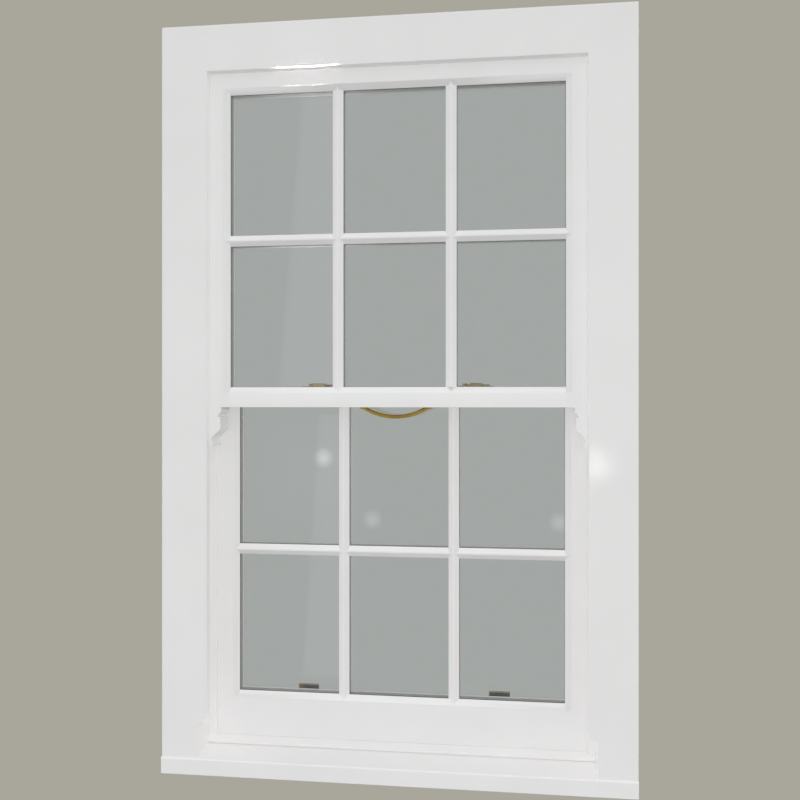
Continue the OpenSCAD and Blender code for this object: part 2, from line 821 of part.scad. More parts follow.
on_side("right") lower_cord();  // lower_right_cord
on_side("left") upper_stile();  // upper_left_stile
on_side("right") upper_stile();  // upper_right_stile
upper_top_rail();
upper_meeting_rail();
glazing_bars(y_upper, z_meet_top);  // upper_glazing_bars
panes(y_upper, z_meet_top);  // upper_panes
spacers(y_upper, z_meet_top);  // upper_spacers
glazing_beads(y_upper, z_meet_top);  // upper_glazing_beads
bow_handle();
fastener_keeps();
on_side("left") lower_stile();  // lower_left_stile
on_side("right") lower_stile();  // lower_right_stile
lower_meeting_rail();
lower_bottom_rail();
glazing_bars(y_lower, z_sight_low);  // lower_glazing_bars
panes(y_lower, z_sight_low);  // lower_panes
spacers(y_lower, z_sight_low);  // lower_spacers
glazing_beads(y_lower, z_sight_low);  // lower_glazing_beads
sash_lifts();
fastener_plates();
fastener_arm(-fastener_x);  // left_fastener_arm
fastener_arm(fastener_x);  // right_fastener_arm
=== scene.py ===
"""Looks for a painted timber box sash window with double-glazed sashes and brass fittings."""

import json
import math

import bmesh
import bpy
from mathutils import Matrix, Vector
from mathutils.bvhtree import BVHTree

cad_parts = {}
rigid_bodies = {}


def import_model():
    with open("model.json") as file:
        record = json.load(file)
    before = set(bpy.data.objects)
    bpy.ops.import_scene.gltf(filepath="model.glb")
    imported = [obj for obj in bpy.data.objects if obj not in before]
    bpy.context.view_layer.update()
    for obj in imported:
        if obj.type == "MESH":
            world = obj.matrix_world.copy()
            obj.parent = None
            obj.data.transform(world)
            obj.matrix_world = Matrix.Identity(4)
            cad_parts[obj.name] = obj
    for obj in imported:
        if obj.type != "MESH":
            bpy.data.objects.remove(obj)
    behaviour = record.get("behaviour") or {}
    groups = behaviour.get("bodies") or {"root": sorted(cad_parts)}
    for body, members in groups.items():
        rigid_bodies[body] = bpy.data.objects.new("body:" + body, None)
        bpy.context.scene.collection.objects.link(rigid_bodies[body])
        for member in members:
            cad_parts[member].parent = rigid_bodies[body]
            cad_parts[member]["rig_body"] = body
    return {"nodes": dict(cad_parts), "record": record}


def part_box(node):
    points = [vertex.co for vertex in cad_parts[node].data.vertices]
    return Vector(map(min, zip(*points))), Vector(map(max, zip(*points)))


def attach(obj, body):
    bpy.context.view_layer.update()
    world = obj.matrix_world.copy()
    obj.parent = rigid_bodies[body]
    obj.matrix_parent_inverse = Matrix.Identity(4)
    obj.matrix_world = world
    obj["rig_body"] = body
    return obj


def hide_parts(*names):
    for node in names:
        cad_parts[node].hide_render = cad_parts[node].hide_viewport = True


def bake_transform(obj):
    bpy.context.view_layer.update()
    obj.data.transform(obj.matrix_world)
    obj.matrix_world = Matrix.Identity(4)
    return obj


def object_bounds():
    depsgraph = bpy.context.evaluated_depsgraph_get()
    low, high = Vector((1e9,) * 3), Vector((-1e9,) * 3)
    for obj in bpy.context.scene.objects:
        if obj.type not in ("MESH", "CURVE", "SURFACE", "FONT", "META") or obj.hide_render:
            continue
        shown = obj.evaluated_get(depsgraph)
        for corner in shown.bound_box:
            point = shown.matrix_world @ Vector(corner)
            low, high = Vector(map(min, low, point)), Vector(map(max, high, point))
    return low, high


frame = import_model()
CAD_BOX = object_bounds()
NODES = frame["nodes"]
BODIES = frame["record"]["behaviour"]["bodies"]
SLOTS = {part["node"]: part["material_slot"] for part in frame["record"]["subparts"]}
MM = 0.001
SASHES = ("upper", "lower")
SIDES = ("left", "right")

# ---------------------------------------------------------------- sizes of the pieces

ARRIS = 0.8 * MM  # what paint and sandpaper take off a timber edge
LINING_ARRIS = 2.0 * MM  # the pencil round on the linings
BRASS_EDGE = 0.5 * MM  # tumbled edges of cast and stamped brass
SHARP_EDGE = 50  # degrees between its faces, from which an edge is eased
SMOOTH_UP_TO = 35  # degrees between faces that shade as one surface
JOINT_GAP = 0.1 * MM  # pieces closer than this are in contact
CLEAR_ROOM = 2.5  # easing widths that an eased edge keeps from other corners
LEAST_LENGTH = 4  # easing widths that an eased edge is long

SCREW = {"Head Radius": 3.2 * MM, "Slot Width": 0.9 * MM, "Slot Depth": 0.9 * MM, "Proud": 0.5 * MM}
LIFT_SCREW_R = 2.6 * MM
FASTENER_SCREW_R = 1.95 * MM
SCREW_DISC_T = 0.3 * MM  # the disc under a screw's slot, sunk into the plate
PULLEY_SCREW_IN = 8 * MM  # from the ends of a pulley's plate to its screws
POCKET_SCREW_IN = 16 * MM
LIFT_PLATE_T = 3 * MM
LIFT_SCREW_IN = 7 * MM
LIFT_SCREW_DOWN = 22 * MM
FASTENER_HOLES_IN = (7 * MM, 5 * MM)  # from the base plate's left and right ends
FASTENER_HOLE_REACH = 2.2 * MM  # corners this near a hole's middle are its rim
FASTENER_SCREW_SUNK = 0.7 * MM

CORD_SIDES = 20
CORD_RING = 3 * MM
PLAITS_ROUND = 3  # strands that cross on one turn round a cord
WHEEL_STEPS = 28  # rings of the cord over its wheel
KNOT_STEPS = 96
KNOT_STRAND = 0.42  # the knot's strand, as a share of the whole knot
TREFOIL_REACH = 3  # how far a unit trefoil reaches from its middle
TREFOIL_DEPTH = 1.4

# ---------------------------------------------------------------- camera, stage and light, in metres

VIEW_ANGLE = 45  # degrees
CAMERA_PLACE = (0.2933, -2.0639)
CAMERA_TURN = 7.94  # degrees
BACKDROP = "#a9a69b"
FLOOR_SPAN = 14.0
FLOOR_DROP = 0.5 * MM  # keeps the floor just under the sill
WALL_Y = 4.0
WALL_TOP = 9.0
COVE_R = 1.0
COVE_STEPS = 8
ROOM = [0.47, 0.59, 0.68, 1.0]  # what gloss and glass reflect: a cool, half-lit room
FILLS = {  # direction to the light, strength, and whether it casts shadows
    "left_fill": ((-0.8, -0.42, 0.46), 0.9, False),
    "right_fill": ((0.8, -0.42, 0.46), 0.9, False),
    "back_left": ((-0.65, 0.7, 0.3), 1.4, True),
    "back_right": ((0.65, 0.7, 0.3), 1.4, True),
}
LAMPS = [  # place, radius of the glow, strength
    ((0.608, -3.2, 0.463), 52 * MM, 42.0),
    ((-0.882, -3.2, 0.475), 65 * MM, 1.5),
    ((-0.604, -3.2, 0.132), 60 * MM, 0.8),
    ((0.423, -3.2, 0.133), 60 * MM, 0.8),
    ((-1.02, 3.5, 0.37), 450 * MM, 1.6),
]
STRIP_Y = -0.6
STRIPS = {  # the (x, z) corners of the tall strip light's two lengths
    "upper_strip": [(-0.4015, 0.837), (-0.246, 0.837), (-0.246, 1.65), (-0.335, 1.65)],
    "lower_strip": [(-0.368, 0.005), (-0.22, 0.005), (-0.22, 0.758), (-0.3176, 0.758)],
}


# ---------------------------------------------------------------- shader helpers


def linear(hex_colour):
    """An sRGB hex value as linear RGBA."""
    channels = [int(hex_colour[i : i + 2], 16) / 255 for i in (1, 3, 5)]
    return [c / 12.92 if c <= 0.04045 else ((c + 0.055) / 1.055) ** 2.4 for c in channels] + [1.0]


def fit(tree, made, settings=None, links=None):
    """Sets a node's properties, inputs or colour stops, and links inputs to (node, output) pairs."""
    for key, value in (settings or {}).items():
        if key == "stops":
            for element, (position, colour) in zip(made.color_ramp.elements, value):
                element.position = position
                element.color = linear(colour)
        elif isinstance(key, str) and hasattr(made, key):
            setattr(made, key, value)
        else:
            made.inputs[key].default_value = value
    for key, (source, output) in (links or {}).items():
        tree.links.new(source.outputs[output], made.inputs[key])
    return made


def node(tree, kind, settings=None, links=None):
    """Adds a node with its settings and links."""
    return fit(tree, tree.nodes.new(kind), settings, links)


def new_material(name):
    """A new material, its node tree and its Principled shader."""
    mat = bpy.data.materials.new(name)
    mat.use_nodes = True
    return mat, mat.node_tree, mat.node_tree.nodes["Principled BSDF"]


def grain_places(tree, axis, along):
    """Object coordinates, and the same drawn out along a grain that runs on X, Y or Z."""
    where = node(tree, "ShaderNodeTexCoord")
    stretch = [1.0, 1.0, 1.0]
    stretch["XYZ".index(axis)] = along
    return where, node(tree, "ShaderNodeMapping", {"Scale": stretch}, {"Vector": (where, "Object")})


# ---------------------------------------------------------------- materials


def gloss_paint(axis):
    """Sprayed gloss joinery paint: an even white with clear soft highlights and a trace of grain."""
    mat, tree, shader = new_material("gloss_paint_grain_" + axis.lower())
    where, along = grain_places(tree, axis, 0.03)
    # growth rings stand up through the paint about 4 mm apart
    grain = node(tree, "ShaderNodeTexNoise", {"Scale": 240.0, "Detail": 4.0, "Roughness": 0.6},
                 {"Vector": (along, "Vector")})
    # orange peel about 3 mm across, a little coarser than sprayed paint has
    peel = node(tree, "ShaderNodeTexNoise", {"Scale": 330.0, "Detail": 1.0}, {"Vector": (where, "Object")})
    # clouding about 150 mm across, where the coat is thicker
    cloud = node(tree, "ShaderNodeTexNoise", {"Scale": 7.0, "Detail": 2.0}, {"Vector": (where, "Object")})
    colour = node(tree, "ShaderNodeValToRGB", {"stops": [(0.3, "#edebea"), (0.7, "#f0eeed")]},
                  {"Fac": (cloud, "Fac")})
    gloss = node(tree, "ShaderNodeMapRange", {"To Min": 0.1, "To Max": 0.13}, {"Value": (cloud, "Fac")})
    ridges = node(tree, "ShaderNodeBump", {"Strength": 0.05, "Distance": 0.05 * MM},
                  {"Height": (grain, "Fac")})
    skin = node(tree, "ShaderNodeBump", {"Strength": 0.03, "Distance": 0.05 * MM},
                {"Height": (peel, "Fac"), "Normal": (ridges, "Normal")})
    fit(tree, shader, links={"Base Color": (colour, "Color"), "Roughness": (gloss, "Result"),
                             "Normal": (skin, "Normal")})
    return mat


def planed_pine():
    """Planed, unpainted redwood pine: straw yellow with browner latewood bands and fine fibres."""
    mat, tree, shader = new_material("planed_pine")
    along = grain_places(tree, "Z", 0.04)[1]
    # latewood bands about 5 mm apart
    rings = node(tree, "ShaderNodeTexWave",
                 {"bands_direction": "DIAGONAL", "Scale": 60.0, "Distortion": 9.0, "Detail": 3.0,
                  "Detail Scale": 1.2}, {"Vector": (along, "Vector")})
    # broad changes of tone about 70 mm across, and fibres about 1 mm across
    tone = node(tree, "ShaderNodeTexNoise", {"Scale": 14.0, "Detail": 2.0}, {"Vector": (along, "Vector")})
    fibre = node(tree, "ShaderNodeTexNoise", {"Scale": 900.0, "Detail": 3.0}, {"Vector": (along, "Vector")})
    both = node(tree, "ShaderNodeMath", {"operation": "MULTIPLY_ADD", 1: 0.6},
                {0: (rings, "Fac"), 2: (tone, "Fac")})
    colour = node(tree, "ShaderNodeValToRGB", {"stops": [(0.4, "#dec193"), (1.1, "#c79f6d")]},
                  {"Fac": (both, "Value")})
    bump = node(tree, "ShaderNodeBump", {"Strength": 0.25, "Distance": 0.1 * MM}, {"Height": (fibre, "Fac")})
    fit(tree, shader, {"Roughness": 0.7}, {"Base Color": (colour, "Color"), "Normal": (bump, "Normal")})
    return mat


def float_glass():
    """Float glass with a low-emissivity coat: sharp reflections and a faint cool tint."""
    mat, tree, shader = new_material("coated_float_glass")
    fit(tree, shader, {"Base Color": linear("#f9fbfe"), "Roughness": 0.0, "IOR": 1.52,
                       "Transmission Weight": 1.0})
    # a pane lets light straight through, so lamps reach what is behind it
    clear = node(tree, "ShaderNodeBsdfTransparent", {"Color": linear("#f2f7f8")})
    path = node(tree, "ShaderNodeLightPath")
    mix = node(tree, "ShaderNodeMixShader", {},
               {"Fac": (path, "Is Shadow Ray"), 1: (shader, "BSDF"), 2: (clear, "BSDF")})
    fit(tree, tree.nodes["Material Output"], links={"Surface": (mix, "Shader")})
    return mat


def foiled_spacer():
    """Grey warm-edge spacer faced with metal foil: a dull mirror with fine, uneven wear."""
    mat, tree, shader = new_material("foil_faced_spacer")
    where = node(tree, "ShaderNodeTexCoord")
    # marks about 1.4 mm across, coarser than real ones so that they show
    marks = node(tree, "ShaderNodeTexNoise", {"Scale": 700.0, "Detail": 2.0}, {"Vector": (where, "Object")})
    gloss = node(tree, "ShaderNodeMapRange", {"To Min": 0.2, "To Max": 0.32}, {"Value": (marks, "Fac")})
    fit(tree, shader, {"Base Color": linear("#bdb5a9"), "Metallic": 0.75}, {"Roughness": (gloss, "Result")})
    return mat


def polished_brass():
    """Polished and lacquered brass: a deep yellow mirror with buffing lines and browner patches."""
    mat, tree, shader = new_material("polished_brass")
    where = node(tree, "ShaderNodeTexCoord")
    # patches about 17 mm across
    stain = node(tree, "ShaderNodeTexNoise", {"Scale": 60.0, "Detail": 3.0}, {"Vector": (where, "Object")})
    # buffing lines about 1 mm apart, coarser than real ones so that they show
    buff = node(tree, "ShaderNodeMapping", {"Scale": [40.0, 900.0, 900.0]}, {"Vector": (where, "Object")})
    lines = node(tree, "ShaderNodeTexNoise", {"Scale": 1.0, "Detail": 2.0}, {"Vector": (buff, "Vector")})
    colour = node(tree, "ShaderNodeValToRGB", {"stops": [(0.35, "#cda24a"), (0.7, "#b0873a")]},
                  {"Fac": (stain, "Fac")})
    gloss = node(tree, "ShaderNodeMapRange", {"To Min": 0.1, "To Max": 0.2}, {"Value": (lines, "Fac")})
    bump = node(tree, "ShaderNodeBump", {"Strength": 0.08, "Distance": 0.02 * MM},
                {"Height": (lines, "Fac")})
    fit(tree, shader, {"Metallic": 1.0},
        {"Base Color": (colour, "Color"), "Roughness": (gloss, "Result"), "Normal": (bump, "Normal")})
    return mat


def cast_iron():
    """Sand-cast iron, dipped black: a matt, pitted skin with brown bloom."""
    mat, tree, shader = new_material("sand_cast_iron")
    where = node(tree, "ShaderNodeTexCoord")
    # sand marks about 2 mm across, and bloom about 30 mm across
    sand = node(tree, "ShaderNodeTexNoise", {"Scale": 520.0, "Detail": 5.0, "Roughness": 0.7},
                {"Vector": (where, "Object")})
    bloom = node(tree, "ShaderNodeTexNoise", {"Scale": 35.0, "Detail": 4.0}, {"Vector": (where, "Object")})
    colour = node(tree, "ShaderNodeValToRGB", {"stops": [(0.45, "#2c2c2d"), (0.75, "#4a3a30")]},
                  {"Fac": (bloom, "Fac")})
    bump = node(tree, "ShaderNodeBump", {"Strength": 0.6, "Distance": 0.4 * MM}, {"Height": (sand, "Fac")})
    fit(tree, shader, {"Roughness": 0.72, "Metallic": 0.5},
        {"Base Color": (colour, "Color"), "Normal": (bump, "Normal")})
    return mat


def waxed_cord():
    """Waxed, plaited cotton cord: off-white strands about 2 mm wide that cross, from the cord's UV map, with
    painted shade in the grooves between the strands.
    """
    mat, tree, shader = new_material("waxed_cotton_cord")
    where = node(tree, "ShaderNodeTexCoord")
    plait = node(tree, "ShaderNodeMath", {"operation": "MAXIMUM"})
    for i, lean in enumerate((45, -45)):
        turned = node(tree, "ShaderNodeMapping", {"Rotation": [0.0, 0.0, math.radians(lean)]},
                      {"Vector": (where, "UV")})
        strand = node(tree, "ShaderNodeTexWave", {"Scale": 0.6}, {"Vector": (turned, "Vector")})
        fit(tree, plait, links={i: (strand, "Fac")})
    # the colour darkens where the plait dips between strands: painted shade in the grooves, on top of the
    # bump
    colour = node(tree, "ShaderNodeValToRGB", {"stops": [(0.2, "#a39a80"), (0.8, "#ddd6c2")]},
                  {"Fac": (plait, "Value")})
    bump = node(tree, "ShaderNodeBump", {"Strength": 0.7, "Distance": 0.4 * MM},
                {"Height": (plait, "Value")})
    fit(tree, shader, {"Roughness": 0.8}, {"Base Color": (colour, "Color"), "Normal": (bump, "Normal")})
    return mat


PAINT = {axis: gloss_paint(axis) for axis in "XZ"}
PINE = planed_pine()
GLASS = float_glass()
SPACER = foiled_spacer()
BRASS = polished_brass()
IRON = cast_iron()
CORD = waxed_cord()


# ---------------------------------------------------------------- objects and meshes


def put(name, data):
    """A new object in the scene that holds the data."""
    made = bpy.data.objects.new(name, data)
    bpy.context.scene.collection.objects.link(made)
    return made


def show(name, mesh, mat):
    """A new object at the origin that holds a finished mesh in one material."""
    mesh.materials.clear()
    mesh.materials.append(mat)
    return put(name, mesh)


def as_mesh(name, shape):
    """The mesh of a bmesh, which is freed."""
    mesh = bpy.data.meshes.new(name)
    shape.to_mesh(mesh)
    shape.free()
    return mesh


def plain_mesh(holder):
    """The plain mesh that an object evaluates to; the object itself goes."""
    graph = bpy.context.evaluated_depsgraph_get()
    mesh = bpy.data.meshes.new_from_object(holder.evaluated_get(graph))
    bpy.data.objects.remove(holder)
    return mesh


# ---------------------------------------------------------------- pieces made from the CAD solids


def merged_copy(name):
    """The CAD node's mesh as a new bmesh, with its doubles merged and its flat faces whole."""
    made = bmesh.new()
    made.from_mesh(NODES[name].data)
    bmesh.ops.remove_doubles(made, verts=made.verts, dist=1e-6)
    bmesh.ops.dissolve_limit(made, angle_limit=math.radians(0.5), verts=made.verts, edges=made.edges)
    made.normal_update()
    return made


def surfaces(body):
    """A search tree for each CAD node of a body, to find where its pieces touch."""
    found = {}
    for name in BODIES[body]:
        mesh = NODES[name].data
        points = [v.co.copy() for v in mesh.vertices]
        found[name] = BVHTree.FromPolygons(points, [list(p.vertices) for p in mesh.polygons])
    return found


def in_joint(edge, trees):
    """True where an edge lies on the surface of another piece for its whole length."""
    a, b = (v.co for v in edge.verts)
    samples = [a.lerp(b, share) for share in (0.1, 0.3, 0.5, 0.7, 0.9)]
    return any(all(tree.find_nearest(p, JOINT_GAP)[0] for p in samples) for tree in trees)


def stands_clear(edge, points, room):
    """True if no corner but its own ends lies within room of an edge."""
    a, b = (v.co for v in edge.verts)
    run = b - a
    for p in points:
        share = min(1.0, max(0.0, (p - a).dot(run) / run.length_squared))
        if (p - a.lerp(b, share)).length < room and p != a and p != b:
            return False
    return True


def free_edges(shape, width, trees):
    """The outer edges that wear and sanding reach: sharp, plain at both ends, and not in a joint."""
    points = [v.co.copy() for v in shape.verts]
    found = []
    for edge in shape.edges:
        plain = len(edge.link_faces) == 2 and all(len(v.link_edges) == 3 for v in edge.verts)
        if not plain or not edge.is_convex or edge.calc_face_angle() < math.radians(SHARP_EDGE):
            continue
        long_enough = edge.calc_length() > LEAST_LENGTH * width
        if long_enough and stands_clear(edge, points, CLEAR_ROOM * width) and not in_joint(edge, trees):
            found.append(edge)
    return found


def eased(name, width, mat, trees):
    """A finished piece made from a CAD node: its free edges are rounded, and joints stay tight."""
    shape = merged_copy(name)
    bmesh.ops.bevel(shape, geom=free_edges(shape, width, trees), offset=width, offset_type="OFFSET",
                    segments=2, profile=0.5, affect="EDGES", clamp_overlap=False, loop_slide=True)
    for face in shape.faces:
        face.smooth = True
    mesh = as_mesh(name + "_finish", shape)
    mesh.set_sharp_from_angle(angle=math.radians(SMOOTH_UP_TO))
    piece = show(name + "_finish", mesh, mat)
    weighted = piece.modifiers.new("flat_faces", "WEIGHTED_NORMAL")
    weighted.keep_sharp = True
    weighted.weight = 100
    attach(piece, NODES[name]["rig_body"])
    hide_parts(name)


def grain_of(name):
    """The axis that a timber member's grain follows, which is its longer one."""
    low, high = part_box(name)
    return "X" if high.x - low.x > high.z - low.z else "Z"


def dress_timber():
    """Painted members get eased edges, and paint whose grain follows each member."""
    for body in ("frame", "upper_sash", "lower_sash"):
        trees = surfaces(body)
        for name in BODIES[body]:
            if SLOTS[name] == "painted_timber":
                others = [tree for other, tree in trees.items() if other != name]
                width = LINING_ARRIS if "lining" in name else ARRIS
                eased(name, width, PAINT[grain_of(name)], others)


def dress_brass():
    """Brass fittings get softened edges."""
    for name, slot in SLOTS.items():
        if slot == "brass":
            eased(name, BRASS_EDGE, BRASS, [])


def dress_plain():
    """What keeps its CAD form only takes its finish."""
    finishes = {"bare_timber": PINE, "glass": GLASS, "spacer": SPACER, "cast_iron": IRON, "cord": CORD}
    for name, slot in SLOTS.items():
        if slot in finishes:
            mesh = NODES[name].data
            mesh.materials.clear()
            mesh.materials.append(finishes[slot])


# ---------------------------------------------------------------- screws


def screw_tree(mat):
    """A Geometry Nodes tree that sets a slotted countersunk screw on each point, along its facing."""
    tree = bpy.data.node_groups.new("slotted_screws", "GeometryNodeTree")
    tree.interface.new_socket("Geometry", in_out="INPUT", socket_type="NodeSocketGeometry")
    for name, size in SCREW.items():
        tree.interface.new_socket(name, in_out="INPUT", socket_type="NodeSocketFloat").default_value = size
    tree.interface.new_socket("Geometry", in_out="OUTPUT", socket_type="NodeSocketGeometry")
    given = node(tree, "NodeGroupInput")
    # half of the head: a closed half-moon, raised from the slot's floor to the face
    moon = node(tree, "GeometryNodeCurveArc", {"Resolution": 17, "Sweep Angle": math.pi},
                {"Radius": (given, "Head Radius")})
    closed = node(tree, "GeometryNodeSetSplineCyclic", {"Cyclic": True}, {"Geometry": (moon, "Curve")})
    filled = node(tree, "GeometryNodeFillCurve", {"mode": "NGONS"}, {"Curve": (closed, "Geometry")})
    raised = node(tree, "GeometryNodeExtrudeMesh", {"mode": "FACES"},
                  {"Mesh": (filled, "Mesh"), "Offset Scale": (given, "Slot Depth")})
    under = node(tree, "GeometryNodeFlipFaces", {}, {"Mesh": (filled, "Mesh")})
    shell = node(tree, "GeometryNodeJoinGeometry")
    for part in (raised, under):
        fit(tree, shell, links={"Geometry": (part, "Mesh")})
    block = node(tree, "GeometryNodeMergeByDistance", {"Distance": 0.01 * MM},
                 {"Geometry": (shell, "Geometry")})
    # the two halves stand a slot's width apart
    half_slot = node(tree, "ShaderNodeMath", {"operation": "MULTIPLY", 1: 0.5}, {0: (given, "Slot Width")})
    aside = node(tree, "ShaderNodeCombineXYZ", {}, {"Y": (half_slot, "Value")})
    first = node(tree, "GeometryNodeTransform", {},
                 {"Geometry": (block, "Geometry"), "Translation": (aside, "Vector")})
    second = node(tree, "GeometryNodeTransform", {"Rotation": [0.0, 0.0, math.pi]},
                  {"Geometry": (first, "Geometry")})
    # the slot's floor is the top of a thin disc
    disc = node(tree, "GeometryNodeMeshCylinder", {"Vertices": 32, "Depth": SCREW_DISC_T},
                {"Radius": (given, "Head Radius")})
    floor = node(tree, "GeometryNodeTransform", {"Translation": [0.0, 0.0, -SCREW_DISC_T / 2]},
                 {"Geometry": (disc, "Mesh")})
    head = node(tree, "GeometryNodeJoinGeometry")
    for part in (first, second, floor):
        fit(tree, head, links={"Geometry": (part, "Geometry")})
    drop = node(tree, "ShaderNodeMath", {"operation": "SUBTRACT"},
                {0: (given, "Proud"), 1: (given, "Slot Depth")})
    sunk = node(tree, "ShaderNodeCombineXYZ", {}, {"Z": (drop, "Value")})
    set_in = node(tree, "GeometryNodeTransform", {},
                  {"Geometry": (head, "Geometry"), "Translation": (sunk, "Vector")})
    # each screw faces out of its plate, with its slot turned as it happened to be driven
    facing = node(tree, "GeometryNodeInputNamedAttribute", {"data_type": "FLOAT_VECTOR", "Name": "facing"})
    aimed = node(tree, "FunctionNodeAlignRotationToVector", {"axis": "Z"}, {"Vector": (facing, "Attribute")})
    turn = node(tree, "FunctionNodeRandomValue", {"Min": 0.0, "Max": math.pi, "Seed": 7})
    spin = node(tree, "ShaderNodeCombineXYZ", {}, {"Z": (turn, 1)})
    angled = node(tree, "FunctionNodeRotateRotation", {"rotation_space": "LOCAL"},
                  {"Rotation": (aimed, "Rotation"), "Rotate By": (spin, "Vector")})
    placed = node(tree, "GeometryNodeInstanceOnPoints", {},
                  {"Points": (given, "Geometry"), "Instance": (set_in, "Geometry"),
                   "Rotation": (angled, "Rotation")})
    real = node(tree, "GeometryNodeRealizeInstances", {}, {"Geometry": (placed, "Instances")})
    finished = node(tree, "GeometryNodeSetMaterial", {"Material": mat}, {"Geometry": (real, "Geometry")})
    node(tree, "NodeGroupOutput", {}, {"Geometry": (finished, "Geometry")})
    return tree


def set_input(modifier, name, value):
    """Sets a Geometry Nodes modifier's input, found by its name and set by its identifier."""
    for item in modifier.node_group.interface.items_tree:
        if item.in_out == "INPUT" and item.name == name:
            modifier[item.identifier] = value


def drive_screws(name, body, places, head_r):
    """One mesh of screws for a body, from places of (point, facing)."""
    seed = bpy.data.meshes.new(name + "_places")
    seed.from_pydata([tuple(point) for point, facing in places], [], [])
    facings = seed.attributes.new("facing", "FLOAT_VECTOR", "POINT")
    for item, (point, facing) in zip(facings.data, places):
        item.vector = facing
    holder = put(name + "_places", seed)
    modifier = holder.modifiers.new("screws", "NODES")
    modifier.node_group = SCREWS
    set_input(modifier, "Head Radius", head_r)
    piece = show(name, plain_mesh(holder), BRASS)
    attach(piece, body)


def islands(name):
    """The lowest and highest corner of each separate solid in a CAD node, in order of place."""
    shape = merged_copy(name)
    left = set(shape.verts)
    found = []
    while left:
        group, queue = [], [left.pop()]
        while queue:
            vert = queue.pop()
            group.append(vert.co.copy())
            for edge in vert.link_edges:
                other = edge.other_vert(vert)
                if other in left:
                    left.remove(other)
                    queue.append(other)
        low = Vector([min(p[i] for p in group) for i in range(3)])
        high = Vector([max(p[i] for p in group) for i in range(3)])
        found.append((low, high))
    shape.free()
    return sorted(found, key=lambda box: tuple(box[0]))


def stile_screws():
    """Two screws in each pulley's face plate, and two in each pocket piece."""
    places = []
    for side in SIDES:
        inward = Vector((1 if side == "left" else -1, 0, 0))
        plates = [(low, high, PULLEY_SCREW_IN) for low, high in islands(side + "_pulley_cases")]
        for low, high, inset in plates + [(*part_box(side + "_pocket_piece"), POCKET_SCREW_IN)]:
            face = high.x if side == "left" else low.x
            for z in (low.z + inset, high.z - inset):
                places.append((Vector((face, (low.y + high.y) / 2, z)), inward))
    return places


def lift_screws():
    """Two screws in the back plate of each sash lift."""
    places = []
    for low, high in islands("sash_lifts"):
        for x in (low.x + LIFT_SCREW_IN, high.x - LIFT_SCREW_IN):
            point = Vector((x, low.y + LIFT_PLATE_T, high.z - LIFT_SCREW_DOWN))
            places.append((point, Vector((0, 1, 0))))
    return places


def fastener_screws():
    """A screw sunk in each hole of the fasteners' base plates, just below the face that the arm sweeps."""
    corners = [v.co for v in NODES["fastener_plates"].data.vertices]
    places = []
    for low, high in islands("fastener_plates"):
        for x in (low.x + FASTENER_HOLES_IN[0], high.x - FASTENER_HOLES_IN[1]):
            hole = Vector((x, (low.y + high.y) / 2))
            top = max(c.z for c in corners if (c.xy - hole).length < FASTENER_HOLE_REACH)
            places.append((Vector((*hole, top - FASTENER_SCREW_SUNK)), Vector((0, 0, 1))))
    return places


# ---------------------------------------------------------------- sash cords


def tube(name, points, radius):
    """A round cord along points in one X-Z plane, with a UV map whose unit is one strand."""
    shape = bmesh.new()
    uv = shape.loops.layers.uv.new("UVMap")
    run = [0.0]
    for a, b in zip(points, points[1:]):
        run.append(run[-1] + (b - a).length)
    rings = []
    side = Vector((0, 1, 0))
    for i, p in enumerate(points):
        ahead = (points[min(i + 1, len(points) - 1)] - points[max(i - 1, 0)]).normalized()
        up = ahead.cross(side)
        turns = (2 * math.pi * k / CORD_SIDES for k in range(CORD_SIDES))
        rings.append([shape.verts.new(p + radius * (math.cos(t) * side + math.sin(t) * up)) for t in turns])
    strand = 2 * math.pi * radius / PLAITS_ROUND
    for i in range(len(rings) - 1):
        for k in range(CORD_SIDES):
            n = (k + 1) % CORD_SIDES
            face = shape.faces.new([rings[i][k], rings[i][n], rings[i + 1][n], rings[i + 1][k]])
            face.smooth = True
            for loop, (ring, turn) in zip(face.loops, ((i, k), (i, k + 1), (i + 1, k + 1), (i + 1, k))):
                loop[uv].uv = (turn / CORD_SIDES * PLAITS_ROUND, run[ring] / strand)
    shape.faces.new(list(reversed(rings[0])))
    shape.faces.new(rings[-1])
    bmesh.ops.recalc_face_normals(shape, faces=shape.faces)
    return show(name, as_mesh(name, shape), CORD)


def straight(a, b):
    """Points from a to b, a cord ring apart."""
    count = max(2, round((b - a).length / CORD_RING))
    return [a.lerp(b, i / count) for i in range(count + 1)]


def stopper_knot(name, centre, radius):
    """The knot that holds a cord in its sash: the cord pulled tight round itself in a trefoil."""
    strand = radius * KNOT_STRAND
    reach = (radius - strand) / TREFOIL_REACH
    curve = bpy.data.curves.new(name, "CURVE")
    curve.dimensions = "3D"
    curve.bevel_depth = strand
    curve.bevel_resolution = 3
    spline = curve.splines.new("POLY")
    spline.points.add(KNOT_STEPS - 1)
    for i, point in enumerate(spline.points):
        t = 2 * math.pi * i / KNOT_STEPS
        lobe = Vector((math.sin(t) + 2 * math.sin(2 * t), math.cos(t) - 2 * math.cos(2 * t),
                       -TREFOIL_DEPTH * math.sin(3 * t)))
        point.co = (*(centre + reach * lobe), 1.0)
    spline.use_cyclic_u = True
    mesh = plain_mesh(put(name + "_line", curve))
    for face in mesh.polygons:
        face.use_smooth = True
    return show(name, mesh, CORD)


